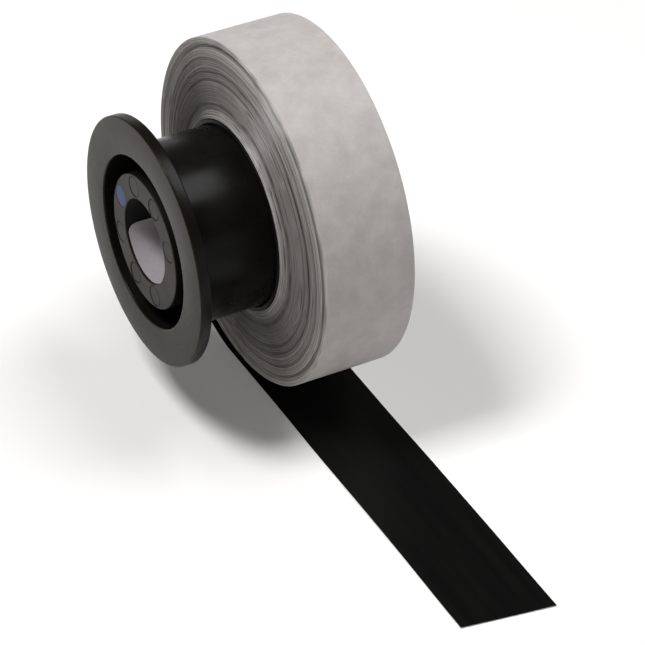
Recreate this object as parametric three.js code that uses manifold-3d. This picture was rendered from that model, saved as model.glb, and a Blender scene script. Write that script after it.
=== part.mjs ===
// Roll of adhesive foil tape, wound on its own core and carried on a one-flanged plastic spool.
//
// Frame: millimetres, +X along the spool's axis from the flange towards the tape, +Z up.
// The origin is on the axis, in the plane of the flange's front face. The free end of the tape
// leaves the bottom of the roll and lies flat along -Y.

import * as THREE from "three";
import { mergeVertices } from "three/addons/utils/BufferGeometryUtils.js";
import Module from "manifold-3d";

// Spool sleeve: a flange and the thin barrel that the core slides on
const flangeRadius = 34;
const flangeThickness = 3.2;
const flangeEdge = 0.5; // chamfer all round the flange
const barrelRadius = 24.8;
const barrelWall = 1.2;
const barrelFillet = 1.2; // where the barrel leaves the flange
const filletSteps = 4;
const barrelOverhang = 2.85; // barrel past the far edge of the tape
const barrelStop = 1.0; // height of the ring inside the barrel that the hub's web meets

// Hub: a bored tube and a ribbed skirt behind a flat face, pressed into the barrel
const boreRadius = 11.65;
const boreWall = 1.5;
const hubRadius = 18.4;
const hubRecess = 0.6; // the hub's faces stand this far inside the spool's ends
const hubFaceThickness = 2;
const skirtWall = 1.2;
const ribThickness = 1.2;
const ribSink = 0.3; // the ribs run this far into the walls that they join
const webDepth = 20; // from the flange's face to the web that joins hub and barrel
const webThickness = 1.6;
const pressClearance = 0.1;

// Round moulding marks on the hub's face, one of them filled by a coloured dot
const markCount = 8;
const markMargin = 0.3; // from a mark to both edges of the hub's face
const markDepth = 0.3;
const firstMarkAngle = 23; // degrees round +X from +Y
const dotThickness = 0.2;
const dotClearance = 0.1;

// Paper label on the lower half of the bore
const labelThickness = 0.12;
const labelClearance = 0.1;
const labelEdgeAngle = 10; // degrees below the horizontal, at both edges
const labelFrontGap = 0.6; // from the hub's face
const labelLength = 36;
const labelCorner = 2.6;

// Tape: foil with a black face, adhesive, and a release liner on the outside
const tapeWidth = 25.4;
const foilThickness = 0.035;
const adhesiveThickness = 0.03;
const linerThickness = 0.09;
const tapePlace = 28.9; // from the flange's face to the outer turns' near edge
const packRadius = 47.7;

// Core: the tube that the tape is wound on
const coreClearance = 0.3; // sliding fit on the barrel
const coreWall = 1.1;
const coreProud = 2.9; // the core stands out of the outer turns towards the flange
const coreEdge = 0.3;
const windClearance = 0.1;

// How far each group of turns has crept towards the flange, against its depth under the outer turn
const turnCreep = [
  [0, 0],
  [1.4, 0],
  [2.1, -0.5],
  [2.8, 0.05],
  [5.6, 0.3],
  [8.8, 0.25],
  [9.4, 0.75],
  [11.5, 0.65],
  [12.1, 1.1],
  [16.6, 1.3],
  [17.4, 1.75],
  [19.2, 1.6],
  [19.8, 2.2],
  [21.5, 2.4],
];

// Free run: the loose part of the last turn, then the tail. The turn is given by its gap to the roll
// against the angle, in degrees round +X from +Y, from where the tape leaves the roll.
const looseTurnGaps = [
  [-8, 0.3],
  [-22, 0.9],
  [-38, 2.1],
  [-56, 3.4],
  [-70, 3.65],
];
const tableGap = 2.6; // from the roll down to the tape that lies on the table
const restReach = 8; // the tape lies flat from this far behind the axis
const tailLength = 121.4; // along the middle of the tape, from under the axis to the cut end
const tailCutSkew = 4; // the far corner reaches this much further than the near one

const roundSteps = 72;
const smallSteps = 24;
const turnSteps = 24;
const tailSteps = 16;
const labelSteps = 40;

const degree = Math.PI / 180;
const spoolLength = tapePlace + tapeWidth + barrelOverhang;
const barrelBore = barrelRadius - barrelWall;
const coreBore = barrelRadius + coreClearance;
const coreRadius = coreBore + coreWall;
const turnThickness = foilThickness + adhesiveThickness + linerThickness;
const woundRadius = packRadius - turnThickness;
const markRadius = (hubRadius - boreRadius) / 2 - markMargin;
const markPitch = (hubRadius + boreRadius) / 2;
const tableDepth = packRadius + tableGap;
const freeRunSteps = turnSteps + tailSteps;

const finishes = {
  sleeve: [0x4a4846, 0.45, 0],
  hub: [0x4e4c49, 0.5, 0],
  dot: [0x5a6388, 0.5, 0],
  label: [0xcfc9cf, 0.6, 0],
  core: [0x171716, 0.5, 0],
  turns: [0x8b8682, 0.7, 0],
  liner: [0xbfbab6, 0.75, 0],
  adhesive: [0x8f8a80, 0.6, 0],
  foil: [0x111111, 0.5, 0],
};

const wasm = await Module();
wasm.setup();

// A closed mesh as a solid that can be joined and cut, and a solid as a mesh geometry again.
function toSolid(geometry) {
  const bare = geometry.clone();
  bare.deleteAttribute("normal");
  bare.deleteAttribute("uv");
  const merged = mergeVertices(bare, 1e-4);
  return new wasm.Manifold(
    new wasm.Mesh({
      numProp: 3,
      vertProperties: merged.attributes.position.array,
      triVerts: new Uint32Array(merged.index.array),
    }),
  );
}

function toGeometry(solid) {
  const mesh = solid.getMesh();
  const geometry = new THREE.BufferGeometry();
  geometry.setAttribute("position", new THREE.BufferAttribute(mesh.vertProperties, 3));
  geometry.setIndex(new THREE.BufferAttribute(mesh.triVerts, 1));
  geometry.computeVertexNormals();
  return geometry;
}

// A ring turned round the X axis from a closed outline of [along X, radius] points.
function turned(outline) {
  const points = [...outline, outline[0]].map(([along, radius]) => new THREE.Vector2(radius, along));
  return new THREE.LatheGeometry(points, roundSteps).rotateZ(-Math.PI / 2);
}

// A short round post along X, its first end at the given place.
function post(radius, length, along, y, z) {
  const geometry = new THREE.CylinderGeometry(radius, radius, length, smallSteps);
  return geometry.rotateZ(-Math.PI / 2).translate(along + length / 2, y, z);
}

function named(name, geometry, [color, roughness, metalness]) {
  const mesh = new THREE.Mesh(geometry, new THREE.MeshStandardMaterial({ color, roughness, metalness }));
  mesh.name = name;
  return mesh;
}

function spoolSleeve() {
  const stopEnd = webDepth + webThickness + pressClearance;
  const fillet = [];
  for (let i = 0; i <= filletSteps; i++) {
    const turn = (i / filletSteps) * 90 * degree;
    fillet.push([
      flangeThickness + barrelFillet * (1 - Math.cos(turn)),
      barrelRadius + barrelFillet * (1 - Math.sin(turn)),
    ]);
  }
  return turned([
    [0, barrelBore + flangeEdge],
    [0, flangeRadius - flangeEdge],
    [flangeEdge, flangeRadius],
    [flangeThickness - flangeEdge, flangeRadius],
    [flangeThickness, flangeRadius - flangeEdge],
    ...fillet,
    [spoolLength - flangeEdge, barrelRadius],
    [spoolLength, barrelRadius - flangeEdge],
    [spoolLength, barrelBore],
    [stopEnd + barrelStop, barrelBore],
    [stopEnd + barrelStop, barrelBore - barrelStop],
    [stopEnd, barrelBore - barrelStop],
    [stopEnd, barrelBore],
    [flangeEdge, barrelBore],
  ]);
}

// Places round the axis of the moulding marks, and of the ribs behind them.
function markAngles() {
  return Array.from({ length: markCount }, (_, i) => firstMarkAngle + (i * 360) / markCount);
}

function hubInsert() {
  const front = hubRecess;
  const back = spoolLength - hubRecess;
  const tubeRadius = boreRadius + boreWall;
  const skirtBore = hubRadius - skirtWall;
  const webRadius = barrelBore - pressClearance;
  let solid = toSolid(
    turned([
      [front, boreRadius],
      [front, hubRadius],
      [webDepth, hubRadius],
      [webDepth, webRadius],
      [webDepth + webThickness, webRadius],
      [webDepth + webThickness, hubRadius],
      [back, hubRadius],
      [back, skirtBore],
      [front + hubFaceThickness, skirtBore],
      [front + hubFaceThickness, tubeRadius],
      [back, tubeRadius],
      [back, boreRadius],
    ]),
  );
  const ribFront = front + hubFaceThickness - ribSink;
  const ribLength = back - hubRecess - ribFront;
  const ribHeight = skirtBore - tubeRadius + 2 * ribSink;
  for (const angle of markAngles()) {
    const rib = new THREE.BoxGeometry(ribLength, ribHeight, ribThickness);
    rib.translate(ribFront + ribLength / 2, tubeRadius - ribSink + ribHeight / 2, 0);
    solid = solid.add(toSolid(rib.rotateX(angle * degree)));
    const across = [markPitch * Math.cos(angle * degree), markPitch * Math.sin(angle * degree)];
    solid = solid.subtract(toSolid(post(markRadius, 2 * markDepth, front - markDepth, ...across)));
  }
  return toGeometry(solid);
}

function colourDot() {
  const angle = firstMarkAngle * degree;
  const place = hubRecess + markDepth - dotClearance / 2 - dotThickness;
  return post(
    markRadius - dotClearance,
    dotThickness,
    place,
    markPitch * Math.cos(angle),
    markPitch * Math.sin(angle),
  );
}

// Moves each vertex of a thin plate, given as width along X, length along Y and thickness along Z.
function bent(width, length, thickness, steps, place) {
  const geometry = new THREE.BoxGeometry(width, length, thickness, 1, steps, 1);
  const position = geometry.attributes.position;
  for (let i = 0; i < position.count; i++) {
    const across = position.getX(i) / width;
    const along = position.getY(i) / length + 0.5;
    const outward = 0.5 + position.getZ(i) / thickness;
    position.setXYZ(i, ...place(across, along, outward));
  }
  geometry.computeVertexNormals();
  return geometry;
}

function boreLabel() {
  const outer = boreRadius * Math.cos(Math.PI / roundSteps) - labelClearance;
  const sweep = (180 - 2 * labelEdgeAngle) * degree;
  const arcLength = outer * sweep;
  return bent(labelLength, arcLength, labelThickness, labelSteps, (across, along, outward) => {
    const edgeDistance = arcLength * Math.min(along, 1 - along);
    const short = THREE.MathUtils.clamp(labelCorner - edgeDistance, 0, labelCorner);
    const inset = labelCorner - Math.sqrt(labelCorner ** 2 - short ** 2);
    const radius = outer - labelThickness * (1 - outward);
    const angle = -labelEdgeAngle * degree - sweep * along;
    return [
      hubRecess + labelFrontGap + labelLength / 2 + across * (labelLength - 2 * inset),
      radius * Math.cos(angle),
      radius * Math.sin(angle),
    ];
  });
}

function tapeCore() {
  const front = tapePlace - coreProud;
  const back = front + tapeWidth;
  return turned([
    [front, coreBore],
    [front, coreRadius - coreEdge],
    [front + coreEdge, coreRadius],
    [back - coreEdge, coreRadius],
    [back, coreRadius - coreEdge],
    [back, coreBore],
  ]);
}

// The turns have crept sideways as they were wound, so both faces carry the same steps.
function woundTurns() {
  const innermost = coreRadius + windClearance;
  const depth = woundRadius - innermost;
  const deepest = turnCreep[turnCreep.length - 1][0];
  const near = turnCreep.map(([under, creep]) => [
    tapePlace - creep,
    woundRadius - (under / deepest) * depth,
  ]);
  const far = near.map(([along, radius]) => [along + tapeWidth, radius]);
  return turned([...near.reverse(), ...far]);
}

function outerTurn() {
  const seam = windClearance / 2;
  return turned([
    [tapePlace, woundRadius + seam],
    [tapePlace, packRadius],
    [tapePlace + tapeWidth, packRadius],
    [tapePlace + tapeWidth, woundRadius + seam],
  ]);
}

// The gap between the roll and the loose turn, smooth along the turn down to where it meets the table.
const looseCurve = new THREE.SplineCurve(
  [
    ...looseTurnGaps,
    [Math.atan2(-tableDepth, restReach) / degree, Math.hypot(restReach, tableDepth) - packRadius],
  ].map(([angle, gap]) => new THREE.Vector2(angle, gap)),
);

// A point of the free run. The step is 0 where the tape leaves the roll, and the offset is outwards.
function freeRunPoint(across, step, offset) {
  const alongX = tapePlace + tapeWidth / 2 + across * tapeWidth;
  if (step < turnSteps) {
    const { x: angle, y: gap } = looseCurve.getPoint(step / turnSteps);
    const radius = packRadius + gap + offset;
    return [alongX, radius * Math.cos(angle * degree), radius * Math.sin(angle * degree)];
  }
  const cutEnd = -tailLength - across * tailCutSkew;
  const alongY = THREE.MathUtils.lerp(restReach, cutEnd, (step - turnSteps) / tailSteps);
  return [alongX, alongY, -(tableDepth + offset)];
}

// One layer of the free run, between two depths counted outwards from the black face.
function freeLayer(from, to) {
  return bent(tapeWidth, tailLength, to - from, freeRunSteps, (across, along, outward) =>
    freeRunPoint(across, Math.round(along * freeRunSteps), outward > 0.5 ? to : from),
  );
}

const spool = new THREE.Group();
spool.add(named("spool_sleeve", spoolSleeve(), finishes.sleeve));
spool.add(named("hub_insert", hubInsert(), finishes.hub));
spool.add(named("colour_dot", colourDot(), finishes.dot));
spool.add(named("bore_label", boreLabel(), finishes.label));

const roll = new THREE.Group();
roll.add(named("tape_core", tapeCore(), finishes.core));
roll.add(named("wound_turns", woundTurns(), finishes.turns));
roll.add(named("outer_turn", outerTurn(), finishes.liner));

const adhesiveDepth = foilThickness + adhesiveThickness;
const freeRun = new THREE.Group();
freeRun.add(named("free_foil", freeLayer(0, foilThickness), finishes.foil));
freeRun.add(named("free_adhesive", freeLayer(foilThickness, adhesiveDepth), finishes.adhesive));
freeRun.add(named("free_liner", freeLayer(adhesiveDepth, turnThickness), finishes.liner));

const tapeRoll = new THREE.Group();
tapeRoll.add(spool, roll, freeRun);

export default tapeRoll;
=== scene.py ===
import math
import random

import bmesh
import bpy
from mathutils import Matrix, Vector, noise


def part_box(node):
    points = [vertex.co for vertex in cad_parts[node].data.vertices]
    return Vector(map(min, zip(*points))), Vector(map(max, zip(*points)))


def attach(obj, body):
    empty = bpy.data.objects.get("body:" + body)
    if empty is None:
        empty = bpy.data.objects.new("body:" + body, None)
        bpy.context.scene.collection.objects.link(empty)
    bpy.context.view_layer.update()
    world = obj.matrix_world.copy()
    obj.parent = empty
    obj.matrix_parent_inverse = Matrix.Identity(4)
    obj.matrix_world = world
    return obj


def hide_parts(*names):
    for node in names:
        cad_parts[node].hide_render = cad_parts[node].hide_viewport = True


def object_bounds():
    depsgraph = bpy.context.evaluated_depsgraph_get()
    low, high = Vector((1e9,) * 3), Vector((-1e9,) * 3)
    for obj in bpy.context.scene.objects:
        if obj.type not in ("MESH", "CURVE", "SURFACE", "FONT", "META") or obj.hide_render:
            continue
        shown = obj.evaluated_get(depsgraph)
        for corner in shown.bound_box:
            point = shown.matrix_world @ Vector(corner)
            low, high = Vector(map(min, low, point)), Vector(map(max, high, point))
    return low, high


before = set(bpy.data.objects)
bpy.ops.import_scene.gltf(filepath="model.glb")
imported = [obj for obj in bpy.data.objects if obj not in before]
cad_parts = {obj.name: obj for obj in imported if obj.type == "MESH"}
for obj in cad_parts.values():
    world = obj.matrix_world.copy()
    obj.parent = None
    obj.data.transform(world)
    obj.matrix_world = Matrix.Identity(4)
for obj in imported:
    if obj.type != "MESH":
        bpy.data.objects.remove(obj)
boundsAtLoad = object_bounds()
scene = bpy.context.scene
mm = 0.001
print("frame loaded:", len(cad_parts), "nodes")


def fromHex(text):
    # sRGB hex to the linear colour that the shaders take
    parts = [int(text[i:i + 2], 16) / 255 for i in (1, 3, 5)]
    linear = [c / 12.92 if c <= 0.04045 else ((c + 0.055) / 1.055) ** 2.4 for c in parts]
    return (*linear, 1.0)


def addNode(tree, kind, inputs=None, **settings):
    # a node with its settings; an input is a value, or another node's output to link
    node = tree.nodes.new(kind)
    for name, value in settings.items():
        setattr(node, name, value)
    for socket, value in (inputs or {}).items():
        if isinstance(value, bpy.types.NodeSocket):
            tree.links.new(value, node.inputs[socket])
        else:
            node.inputs[socket].default_value = value
    return node


def startMaterial(name):
    material = bpy.data.materials.new(name)
    material.use_nodes = True
    tree = material.node_tree
    place = addNode(tree, "ShaderNodeTexCoord").outputs["Object"]
    return material, tree, tree.nodes["Principled BSDF"], place


def setRamp(node, stops):
    # stops are (position, hex)
    elements = node.color_ramp.elements
    while len(elements) > 1:
        elements.remove(elements[-1])
    elements[0].position, elements[0].color = stops[0][0], fromHex(stops[0][1])
    for position, colour in stops[1:]:
        elements.new(position).color = fromHex(colour)


# camera: its place, and the directions to its right and up
cameraValues = {
    "place": (-0.29242, -0.62172, 0.49906),
    "right": (0.87874, -0.47707, 0.01443),
    "up": (0.27980, 0.53940, 0.79421),
    "lens": 181.95,                  # mm
    "sensor": 36,                    # mm across
}
cameraData = bpy.data.cameras.new("camera")
cameraData.lens = cameraValues["lens"]
cameraData.sensor_width = cameraValues["sensor"]
camera = bpy.data.objects.new("camera", cameraData)
right, up = Vector(cameraValues["right"]), Vector(cameraValues["up"])
turn = Matrix((right, up, right.cross(up))).transposed().to_4x4()
camera.matrix_world = Matrix.Translation(cameraValues["place"]) @ turn
scene.collection.objects.link(camera)
scene.camera = camera
print("camera placed")

# a softbox overhead to the right and one high on the flange's side, in a dark room with a pale horizon
lightValues = {
    "focus": (0.035, -0.01, 0.0),
    "top": {"towards": (0.39, -0.06, 0.92), "away": 0.85, "size": 0.45, "watts": 3.9},
    "side": {"towards": (-0.43, 0.1, 0.9), "away": 0.9, "size": 0.26, "watts": 6.4},
    "horizon": "#f2f1ef",
    "ceiling": "#1a1a1a",
    "band": (8, 22),                 # degrees above the horizon, from pale to dark
}


def softbox(name, values):
    light = bpy.data.lights.new(name, "AREA")
    light.shape = "SQUARE"
    light.size = values["size"]
    light.energy = values["watts"]
    lamp = bpy.data.objects.new(name, light)
    towards = Vector(values["towards"]).normalized()
    lamp.location = Vector(lightValues["focus"]) + towards * values["away"]
    lamp.rotation_euler = towards.to_track_quat("Z", "Y").to_euler()
    scene.collection.objects.link(lamp)


softbox("softboxTop", lightValues["top"])
softbox("softboxSide", lightValues["side"])
room = scene.world or bpy.data.worlds.new("room")
scene.world = room
room.use_nodes = True
roomTree = room.node_tree
roomPlace = addNode(roomTree, "ShaderNodeTexCoord").outputs["Generated"]
roomHeight = addNode(roomTree, "ShaderNodeSeparateXYZ", {0: roomPlace}).outputs["Z"]
roomTone = addNode(roomTree, "ShaderNodeValToRGB", {"Fac": roomHeight})
setRamp(roomTone, [(math.sin(math.radians(lightValues["band"][0])), lightValues["horizon"]),
                   (math.sin(math.radians(lightValues["band"][1])), lightValues["ceiling"])])
roomTree.links.new(roomTone.outputs["Color"], roomTree.nodes["Background"].inputs["Color"])
scene.view_settings.view_transform = "Standard"

floorValues = {
    "half": 4.0,                     # metres from the middle to each side
    "colour": "#f4f3f2", "roughness": 0.9,
    "glow": 0.1,                     # a sweep lit softly from all round
}
floorHeight = boundsAtLoad[0].z
half = floorValues["half"]
floorCorners = [(x * half, y * half, floorHeight) for x, y in ((-1, -1), (1, -1), (1, 1), (-1, 1))]
floorMesh = bpy.data.meshes.new("floor")
floorMesh.from_pydata(floorCorners, [], [(0, 1, 2, 3)])
floor = bpy.data.objects.new("floor", floorMesh)
scene.collection.objects.link(floor)
floorPaint, _, floorShade, _ = startMaterial("paperSweepMatt")
floorShade.inputs["Base Color"].default_value = fromHex(floorValues["colour"])
floorShade.inputs["Roughness"].default_value = floorValues["roughness"]
floorShade.inputs["Emission Color"].default_value = fromHex(floorValues["colour"])
floorShade.inputs["Emission Strength"].default_value = floorValues["glow"]
floorMesh.materials.append(floorPaint)
print("lights and floor placed")


# mesh making
def softened(corners, steps=5):
    # a closed outline of (x, radius, softness) corners in mm, each corner rounded over its softness
    outline = []
    for i, (x, radius, soft) in enumerate(corners):
        here = Vector((x, radius))
        if soft == 0:
            outline.append(here)
            continue
        before, after = Vector(corners[i - 1][:2]), Vector(corners[(i + 1) % len(corners)][:2])
        start = here + (before - here).normalized() * soft
        end = here + (after - here).normalized() * soft
        for k in range(steps + 1):
            t = k / steps
            outline.append(start * (1 - t) ** 2 + here * (2 * t * (1 - t)) + end * t ** 2)
    return [(p.x * mm, p.y * mm) for p in outline]


def finishMesh(name, points, faces, material, sharpOver=35):
    mesh = bpy.data.meshes.new(name)
    mesh.from_pydata(points, [], faces)
    work = bmesh.new()
    work.from_mesh(mesh)
    bmesh.ops.recalc_face_normals(work, faces=work.faces)
    work.to_mesh(mesh)
    work.free()
    mesh.shade_smooth()
    mesh.set_sharp_from_angle(angle=math.radians(sharpOver))
    mesh.materials.append(material)
    piece = bpy.data.objects.new(name, mesh)
    scene.collection.objects.link(piece)
    return piece


def turned(outline, steps, shape=None):
    # a ring round the X axis from an outline of (x, radius), which shape may move at each angle
    points, faces = [], []
    count = len(outline)
    for i in range(steps):
        angle = 2 * math.pi * i / steps
        for x, radius in outline:
            if shape:
                x, radius = shape(x, radius, angle)
            points.append((x, radius * math.cos(angle), radius * math.sin(angle)))
        here, there = i * count, (i + 1) % steps * count
        for j in range(count):
            k = (j + 1) % count
            faces.append((here + j, here + k, there + k, there + j))
    return points, faces


def smoothStep(low, high, value):
    t = min(1, max(0, (value - low) / (high - low)))
    return t * t * (3 - 2 * t)


# spool sleeve: flange and barrel in one moulding
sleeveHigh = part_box("spool_sleeve")[1]
sleeveValues = {
    "flangeRadius": sleeveHigh.z / mm,
    "length": sleeveHigh.x / mm,
    "flangeThickness": 3.2,
    "barrelRadius": 24.8,
    "bore": 23.6,
    "stop": (21.7, 22.7, 22.6),      # the ring inside: its two faces and its radius
    "edge": 0.5,
    "fillet": 1.4,
    "backEdge": (0.4, 0.3),          # outside and inside the barrel
    "stopEdge": 0.2,
    "steps": 288,
    "colour": "#100f0e",
    "cloud": "#151412",
    "front": 0.0,
    "paintedWarmSheen": "#1a1407",            # painted warm sheen: the open face gets a warmer black that stands in for the warm cast of its reflection
    "paintedWarmSheenDepth": (0.2, 0.6),      # mm behind the front, over which that tone ends
    "roughness": 0.27,
    "specular": 0.105,               # the worn skin of the moulding shines less than fresh plastic
    "flow": 9,                       # mm, the size of the cloudy patches
    "grain": 0.35,                   # mm, the mould's fine spark texture
    "grainDepth": 0.02,
}


def mouldedStyrene(name, values):
    # Black high-impact polystyrene, injection moulded: satin, with a very fine grain and faint cloudy flow;
    # its open face carries a painted warm sheen, a warmer black standing in for the warm cast of its
    # reflection
    material, tree, shade, place = startMaterial(name)
    flow = addNode(tree, "ShaderNodeTexNoise", {
        "Vector": place, "Scale": 1 / (values["flow"] * mm), "Detail": 4.0})
    tone = addNode(tree, "ShaderNodeValToRGB", {"Fac": flow.outputs["Fac"]})
    setRamp(tone, [(0.35, values["colour"]), (0.7, values["cloud"])])
    along = addNode(tree, "ShaderNodeSeparateXYZ", {"Vector": place})
    full, none = values["paintedWarmSheenDepth"]
    # mask of the painted warm sheen: full on the front face, fading out just behind it
    warmSheenMask = addNode(tree, "ShaderNodeMapRange", {
        "Value": along.outputs["X"], "From Min": (values["front"] + full) * mm,
        "From Max": (values["front"] + none) * mm, "To Min": 1.0, "To Max": 0.0})
    # a colour mix has its factor at socket 0, its colours at 6 and 7, and its result at 2
    skin = addNode(tree, "ShaderNodeMix", {
        0: warmSheenMask.outputs["Result"], 6: tone.outputs["Color"], 7: fromHex(values["paintedWarmSheen"])},
        data_type="RGBA")
    tree.links.new(skin.outputs[2], shade.inputs["Base Color"])
    gloss = addNode(tree, "ShaderNodeMapRange", {
        "Value": flow.outputs["Fac"], "From Min": 0.3, "From Max": 0.7,
        "To Min": values["roughness"] - 0.03, "To Max": values["roughness"] + 0.04})
    tree.links.new(gloss.outputs["Result"], shade.inputs["Roughness"])
    grain = addNode(tree, "ShaderNodeTexNoise", {
        "Vector": place, "Scale": 1 / (values["grain"] * mm), "Detail": 2.0})
    shade.inputs["Specular IOR Level"].default_value = values["specular"]
    bump = addNode(tree, "ShaderNodeBump", {
        "Height": grain.outputs["Fac"], "Strength": 0.25, "Distance": values["grainDepth"] * mm})
    tree.links.new(bump.outputs["Normal"], shade.inputs["Normal"])
    return material


v = sleeveValues
stopFront, stopBack, stopRadius = v["stop"]
edgeOutside, edgeInside = v["backEdge"]
sleeveOutline = softened([
    (0, v["bore"], v["edge"]),
    (0, v["flangeRadius"], v["edge"]),
    (v["flangeThickness"], v["flangeRadius"], v["edge"]),
    (v["flangeThickness"], v["barrelRadius"], v["fillet"]),
    (v["length"], v["barrelRadius"], edgeOutside),
    (v["length"], v["bore"], edgeInside),
    (stopBack, v["bore"], 0),
    (stopBack, stopRadius, v["stopEdge"]),
    (stopFront, stopRadius, v["stopEdge"]),
    (stopFront, v["bore"], 0),
])
spoolSleeve = finishMesh("spoolSleeve", *turned(sleeveOutline, v["steps"]),
                         mouldedStyrene("styreneMouldedSleeve", v))
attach(spoolSleeve, "spool")
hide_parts("spool_sleeve")
print("sleeve made")

# hub: bored tube, ribbed skirt, web, and a front face with round moulding marks
hubLow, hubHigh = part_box("hub_insert")
hubValues = {
    "front": hubLow.x / mm,
    "back": hubHigh.x / mm,
    "bore": 11.65,
    "tube": 13.15,
    "skirtBore": 17.2,
    "radius": 18.4,
    "web": (20.0, 21.6, 23.5),       # its two faces and its radius
    "faceThickness": 2.0,
    "faceEdge": 0.28,
    "faceInset": 0.3,                # from the bore and the rim to the face's first and last ring
    "faceRings": 72,
    "webEdge": (0.3, 0.2),           # at its root and its rim
    "backEdge": 0.25,
    "pocketEdge": 0.3,
    "ribThickness": 1.2,
    "ribSink": 0.3,                  # how far a rib runs into the walls and the face
    "ribBack": 0.6,                  # how far it stops short of the back
    "ribEdge": 0.22,
    "steps": 576,
    "markCount": 8,
    "firstMark": 23,                 # degrees round the axis from +Y
    "markRadius": 3.0,
    "markGroove": 0.34,              # width of the witness line round each mark
    "markEdge": (0.12, 0.06),        # mm inside and outside the mark's radius, over which it sinks
    "markDepth": 0.1,
    "markStrength": [1, 0.75, 0.9, 0.6, 0.1, 0.9, 1.2, 0.6],   # the mould has worn unevenly
    "grooveDepth": 0.32,
    "dotDepth": 0.28,
    "colour": "#100f0e",
    "cloud": "#161513",
    # painted warm sheen on the hub's open face, as on the sleeve
    "paintedWarmSheen": "#18130a",
    "paintedWarmSheenDepth": (0.2, 0.6),
    "roughness": 0.42,
    "specular": 0.145,
    "flow": 9,
    "grain": 0.3,
    "grainDepth": 0.02,
}
v = hubValues
markPitch = (v["bore"] + v["radius"]) / 2
markAngles = [math.radians(v["firstMark"] + i * 360 / v["markCount"]) for i in range(v["markCount"])]
markPlaces = [(markPitch * math.cos(angle), markPitch * math.sin(angle)) for angle in markAngles]
onFace = 1e-7                        # metres; a point this near the front lies on it


def markedFace(x, radius, angle):
    # sinks the front face into each mark, with a deeper line round its edge
    values = hubValues
    if abs(x - values["front"] * mm) > onFace:
        return x, radius
    y, z = radius / mm * math.cos(angle), radius / mm * math.sin(angle)
    away = [math.hypot(y - my, z - mz) for my, mz in markPlaces]
    nearest = min(range(len(away)), key=lambda i: away[i])
    distance = away[nearest]
    rim, half, depth = values["markRadius"], values["markGroove"] / 2, values["markDepth"]
    within, beyond = values["markEdge"]
    inside = 1 - smoothStep(rim - within, rim + beyond, distance)
    if nearest == 0:
        return x + values["dotDepth"] * mm * inside, radius
    line = max(0, 1 - abs(distance - rim + half) / half)
    sink = depth * inside + (values["grooveDepth"] - depth) * smoothStep(0, 1, line)
    return x + sink * values["markStrength"][nearest] * mm, radius


webFront, webBack, webRadius = v["web"]
webRoot, webRim = v["webEdge"]
pocket = v["front"] + v["faceThickness"]
faceWidth = v["radius"] - v["bore"] - 2 * v["faceInset"]
faceRadii = [v["bore"] + v["faceInset"] + faceWidth * i / v["faceRings"] for i in range(v["faceRings"] + 1)]
hubOutline = softened([
    (v["front"], v["bore"], v["faceEdge"]),
    *[(v["front"], radius, 0) for radius in faceRadii],
    (v["front"], v["radius"], v["faceEdge"]),
    (webFront, v["radius"], webRoot),
    (webFront, webRadius, webRim),
    (webBack, webRadius, webRim),
    (webBack, v["radius"], webRoot),
    (v["back"], v["radius"], v["backEdge"]),
    (v["back"], v["skirtBore"], v["backEdge"]),
    (pocket, v["skirtBore"], v["pocketEdge"]),
    (pocket, v["tube"], v["pocketEdge"]),
    (v["back"], v["tube"], v["backEdge"]),
    (v["back"], v["bore"], v["backEdge"]),
], steps=4)
hubPoints, hubFaces = turned(hubOutline, v["steps"], markedFace)


def addRib(points, faces, angle):
    # one rounded-edge rib between the hub's tube and skirt
    values = hubValues
    sink, edge, thick = values["ribSink"], values["ribEdge"], values["ribThickness"] / 2
    front, back = values["front"] + values["faceThickness"] - sink, values["back"] - values["ribBack"]
    low, high = values["tube"] - sink, values["skirtBore"] + sink
    section = [(-thick, front), (-thick, back - edge), (-thick + edge, back),
               (thick - edge, back), (thick, back - edge), (thick, front)]
    first = len(points)
    for radius in (low, high):
        for across, along in section:
            points.append((along * mm,
                           (radius * math.cos(angle) - across * math.sin(angle)) * mm,
                           (radius * math.sin(angle) + across * math.cos(angle)) * mm))
    count = len(section)
    faces.append(tuple(first + i for i in range(count)))
    faces.append(tuple(first + count + i for i in reversed(range(count))))
    for i in range(count):
        k = (i + 1) % count
        faces.append((first + i, first + k, first + count + k, first + count + i))


for angle in markAngles:
    addRib(hubPoints, hubFaces, angle)
hubInsert = finishMesh("hubInsert", hubPoints, hubFaces, mouldedStyrene("styreneMouldedHub", v))
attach(hubInsert, "spool")
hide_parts("hub_insert")
print("hub made")

# coloured dot in the first mark
dotLow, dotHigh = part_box("colour_dot")
dotValues = {
    "edge": 0.07,                    # mm from its full width to its front
    "crown": 0.05,                   # mm that its middle stands proud
    # the front's outline: share of the radius, then mm behind the front (less than 0 is in front)
    "outline": [(0.975, 0.02), (0.94, 0.0), (0.6, -0.025), (0.3, -0.04)],
    "back": 0.97,                    # its back's share of the radius
    "steps": 96,
    "colour": "#2f3a62", "worn": "#3c476c", "roughness": 0.5, "specular": 0.2,
    "pool": 1.4,                     # mm, the size of its uneven patches
    "poolDepth": 0.05,
}


def dotLacquer(name, values):
    # Blue lacquer dabbed into a mark: dull, slightly uneven where it pooled
    material, tree, shade, place = startMaterial(name)
    pool = addNode(tree, "ShaderNodeTexNoise", {
        "Vector": place, "Scale": 1 / (values["pool"] * mm), "Detail": 3.0})
    tone = addNode(tree, "ShaderNodeValToRGB", {"Fac": pool.outputs["Fac"]})
    setRamp(tone, [(0.35, values["colour"]), (0.7, values["worn"])])
    tree.links.new(tone.outputs["Color"], shade.inputs["Base Color"])
    shade.inputs["Roughness"].default_value = values["roughness"]
    shade.inputs["Specular IOR Level"].default_value = values["specular"]
    bump = addNode(tree, "ShaderNodeBump", {
        "Height": pool.outputs["Fac"], "Strength": 0.4, "Distance": values["poolDepth"] * mm})
    tree.links.new(bump.outputs["Normal"], shade.inputs["Normal"])
    return material


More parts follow.
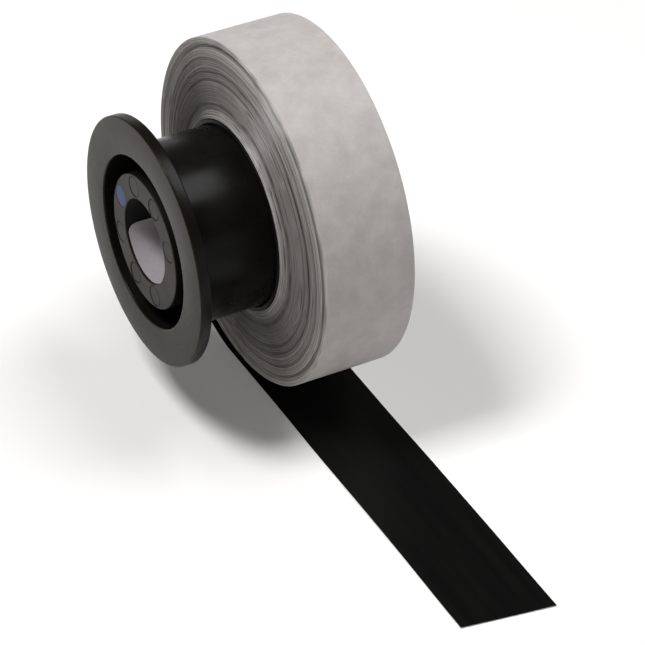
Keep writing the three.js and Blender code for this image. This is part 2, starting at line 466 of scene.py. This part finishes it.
v = dotValues
dotCentre = (dotLow + dotHigh) / 2
dotRadius = (dotHigh.y - dotLow.y) / 2
dotRings = [(dotHigh.x, v["back"]), (dotLow.x + v["edge"] * mm, 1.0)]
dotRings += [(dotLow.x + behind * mm, share) for share, behind in v["outline"]]
dotPoints, dotFaces = [], []
for x, share in dotRings:
    for i in range(v["steps"]):
        angle = 2 * math.pi * i / v["steps"]
        dotPoints.append((x, dotCentre.y + dotRadius * share * math.cos(angle),
                          dotCentre.z + dotRadius * share * math.sin(angle)))
for ring in range(len(dotRings) - 1):
    for i in range(v["steps"]):
        k = (i + 1) % v["steps"]
        here, there = ring * v["steps"], (ring + 1) * v["steps"]
        dotFaces.append((here + i, here + k, there + k, there + i))
top = len(dotPoints)
dotPoints += [(dotLow.x - v["crown"] * mm, dotCentre.y, dotCentre.z), (dotHigh.x, dotCentre.y, dotCentre.z)]
for i in range(v["steps"]):
    k = (i + 1) % v["steps"]
    last = (len(dotRings) - 1) * v["steps"]
    dotFaces += [(last + i, last + k, top), (k, i, top + 1)]
colourDot = finishMesh("colourDot", dotPoints, dotFaces, dotLacquer("lacquerDabbedDot", v), 60)
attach(colourDot, "spool")
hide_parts("colour_dot")
print("dot made")


# thin bent strips: label and tape layers
def thinStrip(place, acrossSteps, alongSteps):
    # a closed thin body; place(across 0..1, along 0..1, side 0 or 1) gives each point in metres
    points, faces = [], []
    row = acrossSteps + 1
    layer = row * (alongSteps + 1)
    for side in (0, 1):
        for i in range(alongSteps + 1):
            for j in range(row):
                points.append(place(j / acrossSteps, i / alongSteps, side))
    for i in range(alongSteps):
        for j in range(acrossSteps):
            a = i * row + j
            faces.append((a, a + 1, a + row + 1, a + row))
            faces.append((layer + a, layer + a + row, layer + a + row + 1, layer + a + 1))
        for a, b in ((i * row, (i + 1) * row), ((i + 1) * row - 1, (i + 2) * row - 1)):
            faces.append((a, b, layer + b, layer + a))
    for j in range(acrossSteps):
        for a in (j, alongSteps * row + j):
            faces.append((a, a + 1, layer + a + 1, layer + a))
    return points, faces


# label: paper lining the lower half of the bore
labelLow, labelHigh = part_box("bore_label")
labelValues = {
    "outer": 11.6, "thickness": 0.12, "corner": 2.6,
    "edgeAngle": 10,                 # degrees below the axis where its two long edges lie
    "lift": 0.08, "liftLength": 3,   # mm that its front end stands off the bore, and over what length
    "acrossSteps": 48, "alongSteps": 120,
    # the paper's grey is painted shade: a white label toned down to how it looks in the shade of the bore
    "colour": "#aba5a9", "shade": "#a39da1", "roughness": 0.5,
    "fibre": 1.1, "fibreDepth": 0.02,
}


def labelPaper(name, values):
    # Coated label paper: smooth, a touch of lilac, faint fibre cloud and a soft sheen; its grey is painted
    # shade, for white paper in the shade of the bore
    material, tree, shade, place = startMaterial(name)
    fibre = addNode(tree, "ShaderNodeTexNoise", {
        "Vector": place, "Scale": 1 / (values["fibre"] * mm), "Detail": 6.0})
    tone = addNode(tree, "ShaderNodeValToRGB", {"Fac": fibre.outputs["Fac"]})
    setRamp(tone, [(0.3, values["shade"]), (0.7, values["colour"])])
    tree.links.new(tone.outputs["Color"], shade.inputs["Base Color"])
    shade.inputs["Roughness"].default_value = values["roughness"]
    bump = addNode(tree, "ShaderNodeBump", {
        "Height": fibre.outputs["Fac"], "Strength": 0.2, "Distance": values["fibreDepth"] * mm})
    tree.links.new(bump.outputs["Normal"], shade.inputs["Normal"])
    return material


def labelPlace(across, along, side):
    # a half pipe with rounded corners, lifted a little at its front end
    values = labelValues
    sweep = math.radians(180 - 2 * values["edgeAngle"])
    arc, corner = values["outer"] * sweep, values["corner"]
    short = min(corner, max(0, corner - arc * min(along, 1 - along)))
    inset = corner - math.sqrt(corner ** 2 - short ** 2)
    front, back = labelLow.x / mm, labelHigh.x / mm
    x = front + inset + across * (back - front - 2 * inset)
    lift = values["lift"] * (1 - smoothStep(0, values["liftLength"], x - front))
    radius = values["outer"] - values["thickness"] * side - lift
    angle = -math.radians(values["edgeAngle"]) - sweep * along
    return (x * mm, radius * mm * math.cos(angle), radius * mm * math.sin(angle))


v = labelValues
boreLabel = finishMesh("boreLabel", *thinStrip(labelPlace, v["acrossSteps"], v["alongSteps"]),
                       labelPaper("paperCoatedLabel", v))
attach(boreLabel, "spool")
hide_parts("bore_label")
print("label made")

# core: the black tube that the tape is wound on
coreLow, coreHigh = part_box("tape_core")
coreValues = {
    "bore": 25.1, "edge": 0.3, "boreEdge": 0.2, "steps": 288,
    "colour": "#070707", "cloud": "#0c0c0b", "roughness": 0.5, "specular": 0.12,
    "rings": 0.2, "ringDepth": 0.02,   # mm, the saw's marks
}


def coreTube(name, values):
    # Black extruded tube, sawn to length: matt, with fine rings on its cut ends
    material, tree, shade, place = startMaterial(name)
    spread = addNode(tree, "ShaderNodeVectorMath", {0: place, 1: (0, 1, 1)}, operation="MULTIPLY")
    radius = addNode(tree, "ShaderNodeVectorMath", {0: spread.outputs["Vector"]}, operation="LENGTH")
    rings = addNode(tree, "ShaderNodeTexNoise", {
        "W": radius.outputs["Value"], "Scale": 1 / (values["rings"] * mm), "Detail": 2.0},
        noise_dimensions="1D")
    tone = addNode(tree, "ShaderNodeValToRGB", {"Fac": rings.outputs["Fac"]})
    setRamp(tone, [(0.3, values["colour"]), (0.75, values["cloud"])])
    tree.links.new(tone.outputs["Color"], shade.inputs["Base Color"])
    shade.inputs["Roughness"].default_value = values["roughness"]
    shade.inputs["Specular IOR Level"].default_value = values["specular"]
    bump = addNode(tree, "ShaderNodeBump", {
        "Height": rings.outputs["Fac"], "Strength": 0.3, "Distance": values["ringDepth"] * mm})
    tree.links.new(bump.outputs["Normal"], shade.inputs["Normal"])
    return material


v = coreValues
coreOutline = softened([
    (coreLow.x / mm, v["bore"], v["boreEdge"]),
    (coreLow.x / mm, coreHigh.z / mm, v["edge"]),
    (coreHigh.x / mm, coreHigh.z / mm, v["edge"]),
    (coreHigh.x / mm, v["bore"], v["boreEdge"]),
])
tapeCore = finishMesh("tapeCore", *turned(coreOutline, v["steps"]), coreTube("tubeExtrudedBlack", v))
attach(tapeCore, "roll")
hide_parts("tape_core")
print("core made")

# wound turns: every turn's edge on both faces, crept sideways in groups
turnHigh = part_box("wound_turns")[1]
outerLow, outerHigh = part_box("outer_turn")
turnValues = {
    "pitch": 0.155,                  # foil, adhesive and liner
    "inner": 26.3,
    "width": 25.4,
    "steps": 256,
    # how far the turns have crept out towards the flange, against the depth under the outermost turn
    "creep": [(0, 0), (1.5, 0), (1.9, -0.5), (2.7, -0.45), (2.9, 0.05), (5.6, 0.3), (5.8, 0.5),
              (9.1, 0.25), (9.35, 0.75), (11.75, 0.65), (12.0, 1.15), (17.0, 1.3), (17.3, 1.75),
              (19.5, 1.6), (19.75, 2.2), (21.5, 2.4)],
    "turnJitter": 0.06,
    "groupJitter": 0.13,
    "groupTurns": (3, 9),            # the fewest and the most turns that creep together
    "seed": 11,
    "drift": 0.16,                   # mm that a turn's edge wanders on its way round
    "driftChange": 0.045,            # how much of that wander is new at each turn
    "groove": 0.13,                  # how far the foil sits behind the liner's edge
    "roughness": 0.5, "specular": 0.4, "stretch": 0.5,
    "groupLines": 0.55,              # mm between lines of grouped turns; single turns are a pitch apart
    "lineDepth": 0.05,
    "toneWander": 0.9,               # mm that the rings of tone stray from round
    "wanderBusy": 1.1,               # which makes that change about seven times on the way round
    # tone against radius in mm, from the core outwards, and the radii that the ramp spans; the tones are
    # partly the edges' own and partly painted shade: the dark rings near 30, 36, 38.5, 42 and 45 mm are
    # painted shadow lines under the creep's steps
    "toneSpan": (26.3, 47.7),
    "tones": [(26.3, "#b6b2af"), (27.4, "#aba7a4"), (28.3, "#979491"), (28.9, "#8a8784"),
              (29.4, "#7b7875"), (29.9, "#605d5b"), (30.3, "#6c6966"), (30.8, "#827e7b"),
              (31.6, "#7c7976"), (33.5, "#827e7b"), (35.8, "#84817e"), (36.2, "#595755"),
              (36.7, "#84807d"), (38.0, "#7d7976"), (38.4, "#5a5856"), (38.9, "#85817e"),
              (39.6, "#918d8a"), (41.6, "#8e8a87"), (42.0, "#6b6866"), (42.5, "#9d9995"),
              (44.5, "#a5a19d"), (45.1, "#86827f"), (45.6, "#9c9894"), (46.8, "#b1ada8"),
              (47.6, "#b1ada9")],
}


def creepAt(under):
    # creep at a depth under the outermost turn, in soft steps through the table
    table = turnValues["creep"]
    for (low, a), (high, b) in zip(table, table[1:]):
        if under <= high:
            return a + (b - a) * smoothStep(low, high, under)
    return table[-1][1]


def slitEdges(name, values):
    # Slit edges of grey release paper with dark foil between: rings of tone and fine lines, both partly
    # painted shade, and a dull surface
    material, tree, shade, place = startMaterial(name)
    spread = addNode(tree, "ShaderNodeVectorMath", {0: place, 1: (0, 1, 1)}, operation="MULTIPLY")
    radius = addNode(tree, "ShaderNodeVectorMath", {0: spread.outputs["Vector"]}, operation="LENGTH")
    direction = addNode(tree, "ShaderNodeVectorMath", {0: spread.outputs["Vector"]}, operation="NORMALIZE")
    wander = addNode(tree, "ShaderNodeTexNoise", {
        "Vector": direction.outputs["Vector"], "Scale": values["wanderBusy"], "Detail": 2.0})
    shift = addNode(tree, "ShaderNodeMapRange", {
        "Value": wander.outputs["Fac"], "From Min": 0.0, "From Max": 1.0,
        "To Min": -values["toneWander"] * mm, "To Max": values["toneWander"] * mm})
    drifted = addNode(tree, "ShaderNodeMath", {
        0: radius.outputs["Value"], 1: shift.outputs["Result"]}, operation="ADD")
    low, high = values["toneSpan"]
    share = addNode(tree, "ShaderNodeMapRange", {
        "Value": drifted.outputs["Value"], "From Min": low * mm, "From Max": high * mm})
    tone = addNode(tree, "ShaderNodeValToRGB", {"Fac": share.outputs["Result"]})
    setRamp(tone, [((r - low) / (high - low), colour) for r, colour in values["tones"]])
    # groups of a few turns, then single turns; both are lines at a real spacing
    groups = addNode(tree, "ShaderNodeTexNoise", {
        "W": drifted.outputs["Value"], "Scale": 1 / (values["groupLines"] * mm), "Detail": 2.5},
        noise_dimensions="1D")
    single = addNode(tree, "ShaderNodeTexNoise", {
        "W": drifted.outputs["Value"], "Scale": 1 / (values["pitch"] * mm), "Detail": 0.0},
        noise_dimensions="1D")
    lines = addNode(tree, "ShaderNodeMath", {
        0: groups.outputs["Fac"], 1: single.outputs["Fac"]}, operation="ADD")
    depth = addNode(tree, "ShaderNodeMapRange", {
        # painted shade and light: the colour is darkened where the lines sink the bump and lightened where
        # they raise it, on top of the dark foil edges' own tone
        "Value": lines.outputs["Value"], "From Min": 0.75, "From Max": 1.25,
        "To Min": 0.45, "To Max": 1.3})
    lit = addNode(tree, "ShaderNodeVectorMath", {
        0: tone.outputs["Color"], 1: depth.outputs["Result"]}, operation="MULTIPLY")
    tree.links.new(lit.outputs["Vector"], shade.inputs["Base Color"])
    # each turn's edge is a fine ring, so the sheen spreads outwards from the axis
    ringwise = addNode(tree, "ShaderNodeTangent", direction_type="RADIAL", axis="X")
    tree.links.new(ringwise.outputs["Tangent"], shade.inputs["Tangent"])
    shade.inputs["Anisotropic"].default_value = values["stretch"]
    shade.inputs["Anisotropic Rotation"].default_value = 0.25
    shade.inputs["Roughness"].default_value = values["roughness"]
    shade.inputs["Specular IOR Level"].default_value = values["specular"]
    bump = addNode(tree, "ShaderNodeBump", {
        "Height": lines.outputs["Value"], "Strength": 0.5, "Distance": values["lineDepth"] * mm})
    tree.links.new(bump.outputs["Normal"], shade.inputs["Normal"])
    return material


v = turnValues
rng = random.Random(v["seed"])
outerRadius = turnHigh.z / mm
count = int((outerRadius - v["inner"]) / v["pitch"])
reach = v["creep"][-1][0]
nearEdge = outerLow.x / mm
profile, group, left = [], 0.0, 0
for i in range(count):
    if left == 0:
        left = rng.randint(*v["groupTurns"])
        group = rng.uniform(-1, 1) * v["groupJitter"]
    left -= 1
    radius = outerRadius - (i + 0.5) * v["pitch"]
    under = (outerRadius - radius) / (outerRadius - v["inner"]) * reach
    creep = creepAt(under) + group + rng.uniform(-1, 1) * v["turnJitter"]
    profile.append((nearEdge - creep, radius, i))
# (x, radius, turn) on the near face from inside out, then on the far face
ringPoints = []
for x, radius, i in reversed(profile):
    ringPoints += [(x + v["groove"], radius - v["pitch"] / 2, i), (x, radius, i)]
ringPoints.append((profile[0][0] + v["groove"], outerRadius, 0))
ringPoints.append((profile[0][0] + v["groove"] + v["width"] - 2 * v["groove"], outerRadius, 0))
for x, radius, i in profile:
    ringPoints += [(x + v["width"], radius, i), (x + v["width"] - v["groove"], radius - v["pitch"] / 2, i)]
turnPoints, turnFaces = [], []
for step in range(v["steps"]):
    angle = 2 * math.pi * step / v["steps"]
    cosine, sine = math.cos(angle), math.sin(angle)
    for x, radius, i in ringPoints:
        drift = v["drift"] * noise.noise(Vector((cosine, sine, i * v["driftChange"])))
        turnPoints.append(((x + drift) * mm, radius * mm * cosine, radius * mm * sine))
    here, there = step * len(ringPoints), (step + 1) % v["steps"] * len(ringPoints)
    for j in range(len(ringPoints)):
        k = (j + 1) % len(ringPoints)
        turnFaces.append((here + j, here + k, there + k, there + j))
woundTurns = finishMesh("woundTurns", turnPoints, turnFaces, slitEdges("paperSlitEdges", v), 30)
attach(woundTurns, "roll")
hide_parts("wound_turns")
print("turns made:", count)

# outer turn: the liner that shows all round the roll
linerValues = {
    "radius": outerHigh.z / mm, "steps": 360, "acrossSteps": 40,
    "corner": (0.03, 0.02),          # mm across and down at the slit edges
    "wave": 0.05, "waveBusy": 2,     # mm that the edges wander, and how quickly round the roll
    "waveSeed": 3.0,
    "swell": 0.06, "swellBusy": 3,   # mm that the paper swells
    "swellLength": 18,               # mm across the tape
    "colour": "#b7b1af", "cloud": "#a8a2a0", "roughness": 0.58,
    "formation": 5, "fibre": 0.5, "cockle": 12,   # mm
    "fibreDepth": 0.015, "cockleDepth": 0.25,
}


def releasePaper(name, values):
    # Supercalendered release paper, warm grey: cloudy sheet formation, short fibres, a waxy sheen
    material, tree, shade, place = startMaterial(name)
    cloud = addNode(tree, "ShaderNodeTexNoise", {
        "Vector": place, "Scale": 1 / (values["formation"] * mm), "Detail": 5.0, "Roughness": 0.6})
    tone = addNode(tree, "ShaderNodeValToRGB", {"Fac": cloud.outputs["Fac"]})
    setRamp(tone, [(0.3, values["cloud"]), (0.68, values["colour"])])
    fibre = addNode(tree, "ShaderNodeTexNoise", {
        "Vector": place, "Scale": 1 / (values["fibre"] * mm), "Detail": 3.0})
    fleck = addNode(tree, "ShaderNodeMapRange", {
        "Value": fibre.outputs["Fac"], "From Min": 0.3, "From Max": 0.7, "To Min": 0.96, "To Max": 1.03})
    lit = addNode(tree, "ShaderNodeVectorMath", {
        0: tone.outputs["Color"], 1: fleck.outputs["Result"]}, operation="MULTIPLY")
    tree.links.new(lit.outputs["Vector"], shade.inputs["Base Color"])
    gloss = addNode(tree, "ShaderNodeMapRange", {
        "Value": cloud.outputs["Fac"], "From Min": 0.3, "From Max": 0.7,
        "To Min": values["roughness"] - 0.04, "To Max": values["roughness"] + 0.05})
    tree.links.new(gloss.outputs["Result"], shade.inputs["Roughness"])
    cockle = addNode(tree, "ShaderNodeTexNoise", {
        "Vector": place, "Scale": 1 / (values["cockle"] * mm), "Detail": 1.0})
    broad = addNode(tree, "ShaderNodeBump", {
        "Height": cockle.outputs["Fac"], "Strength": 0.5, "Distance": values["cockleDepth"] * mm})
    bump = addNode(tree, "ShaderNodeBump", {
        "Height": fibre.outputs["Fac"], "Strength": 0.3, "Distance": values["fibreDepth"] * mm,
        "Normal": broad.outputs["Normal"]})
    tree.links.new(bump.outputs["Normal"], shade.inputs["Normal"])
    return material


v = linerValues
releaseLiner = releasePaper("paperReleaseLiner", v)
x0, x1 = outerLow.x / mm, outerHigh.x / mm
across, down = v["corner"]
under, shoulder = v["radius"] - turnValues["pitch"], v["radius"] - down
treadOutline = [(x0 * mm, under * mm), (x0 * mm, shoulder * mm)]
treadOutline += [((x0 + across + (x1 - x0 - 2 * across) * i / v["acrossSteps"]) * mm, v["radius"] * mm)
                 for i in range(v["acrossSteps"] + 1)]
treadOutline += [(x1 * mm, shoulder * mm), (x1 * mm, under * mm)]


def wavyTread(x, radius, angle):
    # the edges wander sideways a little and the paper swells between taut places
    values = linerValues
    cosine, sine = math.cos(angle), math.sin(angle)
    busy = values["waveBusy"]
    sideways = values["wave"] * noise.noise(Vector((cosine * busy, sine * busy, values["waveSeed"])))
    busy = values["swellBusy"]
    swell = values["swell"] * (0.5 + noise.noise(
        Vector((cosine * busy, sine * busy, x / mm / values["swellLength"]))))
    return x + sideways * mm, radius + max(0, swell) * mm


outerTurn = finishMesh("outerTurn", *turned(treadOutline, v["steps"], wavyTread), releaseLiner)
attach(outerTurn, "roll")
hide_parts("outer_turn")
print("outer turn made")

# free run: the loose part of the last turn, then the tail on the table, in three bonded layers
runValues = {
    "packRadius": 47.7,
    # gap to the roll against the angle round the axis from +Y, in degrees
    "gaps": [(-8, 0.3), (-22, 0.9), (-38, 2.1), (-56, 3.4), (-70, 3.65)],
    "tableGap": 2.6,                 # mm from the roll down to the black face of the tape on the table
    "rest": 8,                       # the tape lies on the table from this far behind the axis
    "tail": 121.4, "skew": 4.0,      # mm from the axis to the cut end, and how far out of square it is
    # amounts in mm, each with the two distances in front of the axis between which it grows
    "camberEarly": (0.25, (10, 50)),
    "camberLate": (0.4, (85, 121)),  # both are how far the tail strays towards the flange
    "lift": (0.12, (0, 30)),
    "settle": (0.45, (70, 123)),     # this one is the share of the lift that is lost again
    "cup": (0.12, (10, 60)),         # the long edges stand a little higher than the middle
    "ripple": (0.08, (8, 35)), "rippleLength": 9.0, "rippleSlant": 1.2,
    "width": 25.4,
    "layers": {"foil": (0.0, 0.035), "adhesive": (0.035, 0.065), "liner": (0.065, 0.155)},
    "acrossSteps": 12, "turnSteps": 90, "tailSteps": 130,
    "foilColour": "#0b0b0b", "foilCloud": "#0f0f0e", "foilRoughness": 0.3, "foilSpecular": 0.11,
    "streak": (1.6, 40), "streakDepth": 0.02,     # mm across and along the rolling
    "adhesiveColour": "#8f8a80", "adhesiveShade": "#7d786f", "adhesiveRoughness": 0.35,
    "bead": 0.8,                     # mm
}
tableDepth = runValues["packRadius"] + runValues["tableGap"]
runKnots = [Vector(knot) for knot in runValues["gaps"]]
runKnots.append(Vector((math.degrees(math.atan2(-tableDepth, runValues["rest"])),
                        math.hypot(runValues["rest"], tableDepth) - runValues["packRadius"])))


def looseTurn(share):
    # (angle, gap) on the smooth curve through the knots, where share is 0 at the roll and 1 at the table
    place = share * (len(runKnots) - 1)
    i = min(int(place), len(runKnots) - 2)
    t = place - i
    a, b, c, d = (runKnots[min(max(i + k, 0), len(runKnots) - 1)] for k in (-1, 0, 1, 2))
    square, cube = 2 * a - 5 * b + 4 * c - d, 3 * b - a - 3 * c + d
    return 0.5 * (2 * b + (c - a) * t + square * t ** 2 + cube * t ** 3)


def grown(name, out):
    # one of the amounts above, at this distance in front of the axis
    most, (start, end) = runValues[name]
    return most * smoothStep(start, end, out)


def runPath(across, along):
    # (y, z) in mm of the black face, and the outward direction there; along is 0..1 over all the steps
    values = runValues
    turnSteps, tailSteps = values["turnSteps"], values["tailSteps"]
    step = along * (turnSteps + tailSteps)
    if step <= turnSteps:
        degrees, gap = looseTurn(step / turnSteps)
        angle, radius = math.radians(degrees), values["packRadius"] + gap
        return radius * math.cos(angle), radius * math.sin(angle), math.cos(angle), math.sin(angle)
    share = (step - turnSteps) / tailSteps
    out = (values["tail"] + (across - 0.5) * values["skew"] + values["rest"]) * share - values["rest"]
    ripple = math.sin(out / values["rippleLength"] + values["rippleSlant"] * across)
    rise = grown("lift", out) * (1 - grown("settle", out)) + grown("ripple", out) * ripple
    rise += grown("cup", out) * (2 * across - 1) ** 2
    return -out, -tableDepth + max(0, rise), 0.0, -1.0


def layerPlace(low, high):
    # the place function of one layer, which lies from low to high mm outside the black face
    def place(across, along, side):
        y, z, outY, outZ = runPath(across, along)
        offset = low + (high - low) * side
        stray = grown("camberEarly", -y) + grown("camberLate", -y) if z < 0 else 0
        x = outerLow.x / mm + across * runValues["width"] - stray
        return (x * mm, (y + outY * offset) * mm, (z + outZ * offset) * mm)
    return place


def foilFace(name, values):
    # Rolled foil with a black face: very dark, satin, faint streaks along the rolling
    material, tree, shade, place = startMaterial(name)
    wide, long = values["streak"]
    drawn = addNode(tree, "ShaderNodeMapping", {
        "Vector": place, "Scale": (1 / (wide * mm), 1 / (long * mm), 1 / (long * mm))})
    streak = addNode(tree, "ShaderNodeTexNoise", {
        "Vector": drawn.outputs["Vector"], "Scale": 1.0, "Detail": 1.0})
    tone = addNode(tree, "ShaderNodeValToRGB", {"Fac": streak.outputs["Fac"]})
    setRamp(tone, [(0.3, values["foilColour"]), (0.75, values["foilCloud"])])
    tree.links.new(tone.outputs["Color"], shade.inputs["Base Color"])
    gloss = addNode(tree, "ShaderNodeMapRange", {
        "Value": streak.outputs["Fac"], "From Min": 0.3, "From Max": 0.7,
        "To Min": values["foilRoughness"] - 0.015, "To Max": values["foilRoughness"] + 0.02})
    tree.links.new(gloss.outputs["Result"], shade.inputs["Roughness"])
    shade.inputs["Specular IOR Level"].default_value = values["foilSpecular"]
    bump = addNode(tree, "ShaderNodeBump", {
        "Height": streak.outputs["Fac"], "Strength": 0.06, "Distance": values["streakDepth"] * mm})
    tree.links.new(bump.outputs["Normal"], shade.inputs["Normal"])
    return material


def adhesiveFilm(name, values):
    # Acrylic adhesive film, cast: seen only as a thin tacky line between foil and liner
    material, tree, shade, place = startMaterial(name)
    bead = addNode(tree, "ShaderNodeTexNoise", {
        "Vector": place, "Scale": 1 / (values["bead"] * mm), "Detail": 2.0})
    tone = addNode(tree, "ShaderNodeValToRGB", {"Fac": bead.outputs["Fac"]})
    setRamp(tone, [(0.3, values["adhesiveShade"]), (0.7, values["adhesiveColour"])])
    tree.links.new(tone.outputs["Color"], shade.inputs["Base Color"])
    shade.inputs["Roughness"].default_value = values["adhesiveRoughness"]
    return material


v = runValues
alongSteps = v["turnSteps"] + v["tailSteps"]
for name, node, slot, material in (
        ("freeFoil", "free_foil", "black_foil", foilFace("foilRolledBlackFace", v)),
        ("freeAdhesive", "free_adhesive", "adhesive", adhesiveFilm("acrylicCastAdhesive", v)),
        ("freeLiner", "free_liner", "release_liner", releaseLiner)):
    low, high = v["layers"][node.split("_")[1]]
    piece = finishMesh(name, *thinStrip(layerPlace(low, high), v["acrossSteps"], alongSteps), material, 60)
    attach(piece, "free_run")
    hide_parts(node)
print("free run made")
